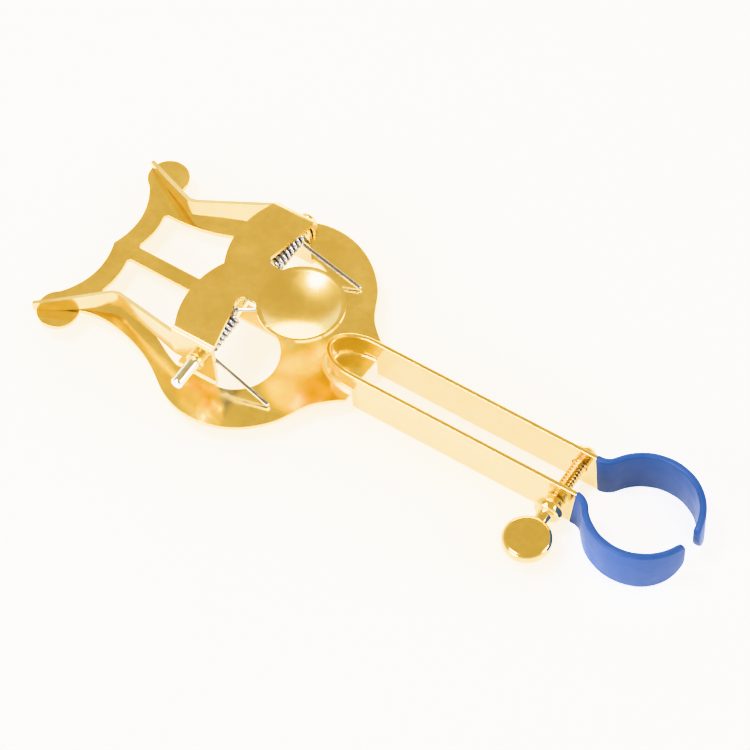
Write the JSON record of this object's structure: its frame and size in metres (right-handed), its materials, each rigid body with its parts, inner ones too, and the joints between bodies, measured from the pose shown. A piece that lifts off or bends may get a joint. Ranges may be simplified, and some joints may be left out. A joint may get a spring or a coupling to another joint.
{
  "type": "clamp-on music lyre",
  "caption": "Marching-band music lyre: a sprung clip holds the sheet music on a pressed brass lyre, and a U-strip clamp with vinyl-dipped jaws and a thumbscrew grips the instrument.",
  "frame": {"origin": "on the axis of the two jaws, level with the front face of the lyre plate", "axes": "+Z along the jaws' axis and out of the lyre's front, +X along the lyre from the music end to the jaws, +Y across the lyre away from the thumbscrew"},
  "size_m": [0.17, 0.0642, 0.0228],
  "materials": {
    "gold_lacquer": "polished and gold lacquered",
    "braze": "smooth brazed fillet under gold lacquer",
    "bright_steel": "bright turned steel",
    "spring_steel": "bright drawn wire",
    "screw_brass": "polished and gold lacquered",
    "blue_vinyl": "dipped soft vinyl, satin"
  },
  "bodies": {
    "root": {"lyre_plate": "gold_lacquer", "hinge_pin": "bright_steel", "torsion_spring_left": "spring_steel", "torsion_spring_right": "spring_steel", "clamp_bow": "gold_lacquer", "braze_bead": "braze"},
    "clip": {"front_clip": "gold_lacquer", "hinge_bush_left": "gold_lacquer", "hinge_bush_right": "gold_lacquer"},
    "left_arm": {"clamp_arm_left": "gold_lacquer", "jaw_sleeve_left": "blue_vinyl", "screw_nut": "gold_lacquer"},
    "right_arm": {"clamp_arm_right": "gold_lacquer", "jaw_sleeve_right": "blue_vinyl"},
    "thumbscrew": {"screw_thread": "screw_brass", "screw_paddle": "screw_brass"}
  },
  "joints": [
    {"name": "clip_hinge", "type": "hinge", "parent": "root", "child": "clip", "pos_m": [-0.1082, 0, 0.0111], "axis": [0, 1, 0], "range_deg": [0, 18], "stiffness_Nm_per_rad": 0.12, "springref_deg": -34.38, "deforming": ["torsion_spring_left", "torsion_spring_right"]},
    {"name": "left_arm_flex", "type": "hinge", "parent": "root", "child": "left_arm", "pos_m": [-0.0764, 0.0049, 0.0003], "axis": [0, 0, -1], "range_deg": [0, 0.9]},
    {"name": "right_arm_flex", "type": "hinge", "parent": "root", "child": "right_arm", "pos_m": [-0.0764, -0.0049, 0.0003], "axis": [0, 0, 1], "range_deg": [0, 0.9]},
    {"name": "screw_turn", "type": "hinge", "parent": "right_arm", "child": "thumbscrew", "pos_m": [-0.0199, -0.008, 0.0003], "axis": [0, 1, 0], "range_deg": [0, 700]}
  ],
  "couplings": [
    {"joint": "left_arm_flex", "follows": "screw_turn", "ratio": 0.001277},
    {"joint": "right_arm_flex", "follows": "screw_turn", "ratio": 0.001277}
  ]
}
